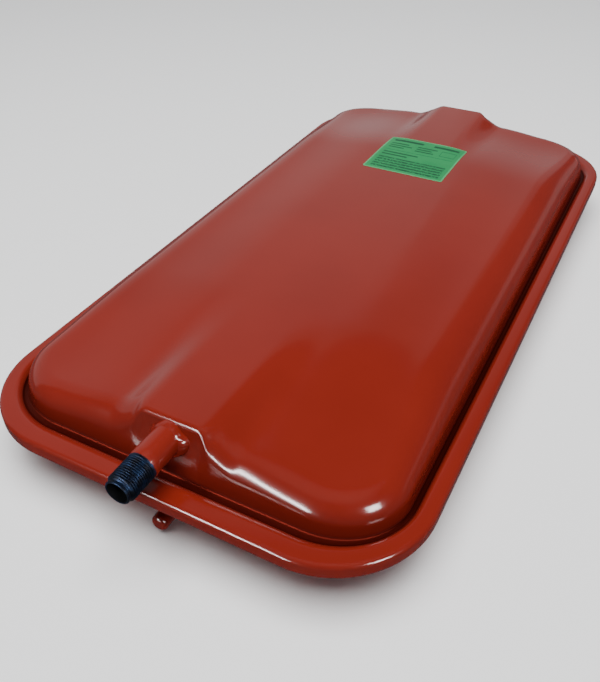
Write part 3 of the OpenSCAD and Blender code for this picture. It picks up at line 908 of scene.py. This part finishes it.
class VESSEL_OT_stick_label(bpy.types.Operator):
    """Models the label's film, which follows the roof of the front shell"""

    bl_idname = "vessel.stick_label"
    bl_label = "Stick the label"

    def execute(self, context):
        form = Pressing(context.scene.vessel_pressing)
        middle = (LABEL_LOW + LABEL_HIGH) / 2
        half = (LABEL_HIGH - LABEL_LOW) / 2
        round_by = 0.0015
        corners = [
            arc((sx * (half.x - round_by), sy * (half.y - round_by)), round_by,
                90 * turn, 90 * turn + 90, 5)
            for turn, (sx, sy) in enumerate(((1, 1), (-1, 1), (-1, -1), (1, -1)))
        ]
        outline = []
        for corner, following in zip(corners, corners[1:] + corners[:1]):
            (x, y), (next_x, next_y) = corner[-1], following[0]
            edge = [(lerp(x, next_x, t), lerp(y, next_y, t)) for t in steps(0, 1, 14)]
            outline += corner + edge[1:-1]

        def ring(share, lift):
            points = [(middle.x + x * share, middle.y + y * share) for x, y in outline]
            return [Vector((x, y, form.height + form.roof(x, y) + lift)) for x, y in points]

        top, under, rounding = 0.00020, 0.00003, 0.00004
        rings = [ring(t, top) for t in steps(0.06, 0.997, 14)]
        rings += [ring(1.0, top - rounding), ring(1.0, under)]
        rings += [ring(t, under) for t in steps(0.95, 0.1, 12)]
        film = loft("label_sheet", rings)
        finish_piece(
            film, label_film(context.scene.vessel_colours), "vessel", "label"
        )
        return {"FINISHED"}


class VESSEL_OT_wind_spring(bpy.types.Operator):
    """Winds the valve core's spring, which in the real valve shortens as the pin goes in"""

    bl_idname = "vessel.wind_spring"
    bl_label = "Wind the spring"

    def execute(self, context):
        sizes = context.scene.vessel_connections
        wire = sizes.spring_wire / 2
        centre = Vector((0, SPRING_LOW.y + wire, axis_of(SPRING_LOW, SPRING_HIGH)))
        radius = radius_of(SPRING_LOW, SPRING_HIGH) - wire
        long = SPRING_HIGH.y - SPRING_LOW.y
        turns = sizes.spring_turns
        rings = []
        for t in steps(0, turns, round(turns * 24) + 1):
            out = Vector((math.cos(math.tau * t), 0, math.sin(math.tau * t)))
            middle = centre + out * radius + Vector((0, (long - 2 * wire) * t / turns, 0))
            rings.append([
                middle + wire * (out * math.cos(a) + Vector((0, math.sin(a), 0)))
                for a in steps(0, math.tau, 13)[:-1]
            ])
        spring = loft("core_spring_coil", rings)
        steel = plain_metal("spring_steel", context.scene.vessel_colours.steel, 0.25)
        finish_piece(spring, steel, "vessel", "core_spring", angle=60)
        press = next(
            joint for joint in frame["record"]["behaviour"]["joints"]
            if joint["name"] == "pin_press"
        )
        1 - press["range_m"][1] / long
        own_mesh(spring)
        return {"FINISHED"}


class VESSEL_OT_finish_inside(bpy.types.Operator):
    """Gives the inner pieces, which keep their drawn shapes, their finishes"""

    bl_idname = "vessel.finish_inside"
    bl_label = "Finish the inner pieces"

    def execute(self, context):
        colours = context.scene.vessel_colours
        rubber = soft_plastic("diaphragm_rubber", colours.rubber, 0.62)
        brass = plain_metal("core_brass", colours.brass, 0.28)
        finishes = {
            "diaphragm": rubber,
            "core_plug": brass,
            "core_barrel": brass,
            "core_pin": brass,
            "core_cup": brass,
            "core_gasket": soft_plastic("gasket_plastic", colours.plastic, 0.45),
            "core_seal": rubber,
            "cap_seal": rubber,
        }
        for node, material in finishes.items():
            coat(frame["nodes"][node].data, material)
        return {"FINISHED"}


class VESSEL_OT_set_stage(bpy.types.Operator):
    """Lays the floor, hangs the soft lights and places the camera"""

    bl_idname = "vessel.set_stage"
    bl_label = "Set the stage"

    def execute(self, context):
        colours = context.scene.vessel_colours
        below = -0.0005
        clear_selection()
        bpy.ops.mesh.primitive_plane_add(size=40, location=(0, 0, below))
        floor = context.object
        floor.name = "floor"
        ground = Finish("floor")
        spot, _ = ground.place()
        worn = (0.8, 0.8, 0.8)
        ground.set(
            Base_Color=ground.mix(ground.noise(spot, 0.8) * 0.05, colours.floor, worn),
            Roughness=0.9,
            Specular_IOR_Level=0.0,
        )
        floor.data.materials.append(ground.material)
        floor.visible_glossy = False

        end = Vector((0.0, -0.20, 0.04))
        self.soft_light("top_key", (0.15, -0.35, 1.9), (0, 0, 0), (1.6, 1.6), 72, "diffuse")
        self.soft_light(
            "front_tube", end + Vector((-0.34, -1.07, 0.37)), end, (1.0, 0.11), 50, "glossy",
            slant=-58,
        )
        self.soft_light(
            "side_window", end + Vector((1.02, -0.40, 0.49)), end, (0.34, 0.38), 34, "glossy"
        )
        self.soft_light(
            "side_wall", (1.05, 1.10, 0.16), (0.10, 0, 0.06), (1.6, 0.24), 0.40, "glossy"
        )
        foot = Vector((-0.95, 0.85, 0))
        along = Vector((0.47, 0.883, 0))
        facing = Vector((along.y, -along.x, 0))
        bands = ((0, 0.55, 2.0), (0.55, 1.2, 1.9), (1.2, 1.6, 1.7), (1.6, 2.1, 1.2))
        bays = ((-1.8, 1.1, 1.0), (1.1, 1.9, 0.75), (1.9, 3.2, 0.55))
        for low, high, glow in bands:
            for left, right, share in bays:
                size = (right - left, high - low)
                middle = foot + Vector((0, 0, (low + high) / 2)) + along * (left + right) / 2
                power = glow * share * size[0] * size[1]
                self.soft_light("pale_wall", middle, middle + facing, size, power, "glossy")
        world = bpy.data.worlds.new("room")
        world.use_nodes = True
        back = world.node_tree.nodes["Background"]
        back.inputs["Color"].default_value = (0.9, 0.93, 1.0, 1.0)
        back.inputs["Strength"].default_value = 0.12
        context.scene.world = world
        self.aim_camera(context)
        return {"FINISHED"}

    @staticmethod
    def soft_light(name, place, target, size, power, rays, slant=0):
        """A rectangular soft light that faces its target, for diffuse or glossy rays, and
        is turned about its own axis by the slant, in degrees."""
        lamp = bpy.data.lights.new(name, "AREA")
        lamp.shape = "RECTANGLE"
        lamp.size, lamp.size_y = size
        lamp.energy = power
        holder = bpy.data.objects.new(name, lamp)
        bpy.context.collection.objects.link(holder)
        holder.location = place
        holder.visible_glossy = rays == "glossy"
        holder.visible_diffuse = rays == "diffuse"
        look = Vector(target) - Vector(place)
        turn = look.to_track_quat("-Z", "Y") @ Quaternion((0, 0, 1), math.radians(slant))
        holder.rotation_euler = turn.to_euler()

    @staticmethod
    def aim_camera(context):
        """Looks down on the vessel from beyond its connection end."""
        azimuth, elevation, roll = (math.radians(a) for a in (28.27, 38.76, -0.49))
        away = 0.47297
        target = Vector((0.00835, -0.10888, DOME_HIGH.z / 2))
        back = Vector((
            math.sin(azimuth) * math.cos(elevation),
            -math.cos(azimuth) * math.cos(elevation),
            math.sin(elevation),
        ))
        right = Vector((math.cos(azimuth), math.sin(azimuth), 0))
        up = back.cross(right)
        tilted_right = right * math.cos(roll) + up * math.sin(roll)
        tilted_up = up * math.cos(roll) - right * math.sin(roll)
        lens = bpy.data.cameras.new("camera")
        lens.lens = 38.68
        lens.sensor_width = 36
        lens.clip_start = 0.01
        camera = bpy.data.objects.new("camera", lens)
        context.collection.objects.link(camera)
        turn = Matrix((tilted_right, tilted_up, back)).transposed()
        camera.matrix_world = Matrix.Translation(target + back * away) @ turn.to_4x4()
        context.scene.camera = camera


class VESSEL_PT_panel(bpy.types.Panel):
    """Lists the sizes, the colours and the steps"""

    bl_label = "Expansion vessel"
    bl_idname = "VESSEL_PT_panel"
    bl_space_type = "VIEW_3D"
    bl_region_type = "UI"
    bl_category = "Vessel"

    def draw(self, context):
        for group in ("vessel_pressing", "vessel_connections", "vessel_colours"):
            box = self.layout.box()
            settings = getattr(context.scene, group)
            for name in settings.__annotations__:
                box.prop(settings, name)
        for step in STEPS:
            self.layout.operator(step.bl_idname)


STEPS = (
    VESSEL_OT_press_shells,
    VESSEL_OT_turn_nipple,
    VESSEL_OT_lay_welds,
    VESSEL_OT_turn_valve,
    VESSEL_OT_stick_label,
    VESSEL_OT_wind_spring,
    VESSEL_OT_finish_inside,
    VESSEL_OT_set_stage,
)
GROUPS = {
    "vessel_pressing": PressingSizes,
    "vessel_connections": ConnectionSizes,
    "vessel_colours": FinishColours,
}


def register():
    for group in GROUPS.values():
        bpy.utils.register_class(group)
    for cls in (*STEPS, VESSEL_PT_panel):
        bpy.utils.register_class(cls)
    for name, group in GROUPS.items():
        setattr(bpy.types.Scene, name, PointerProperty(type=group))


def unregister():
    for name in GROUPS:
        delattr(bpy.types.Scene, name)
    for cls in (VESSEL_PT_panel, *STEPS, *GROUPS.values()):
        bpy.utils.unregister_class(cls)


def main():
    """Registers the add-on and takes every step."""
    register()
    bpy.ops.vessel.press_shells()
    bpy.ops.vessel.turn_nipple()
    bpy.ops.vessel.lay_welds()
    bpy.ops.vessel.turn_valve()
    bpy.ops.vessel.stick_label()
    bpy.ops.vessel.wind_spring()
    bpy.ops.vessel.finish_inside()
    bpy.ops.vessel.set_stage()


if __name__ == "__main__":
    main()
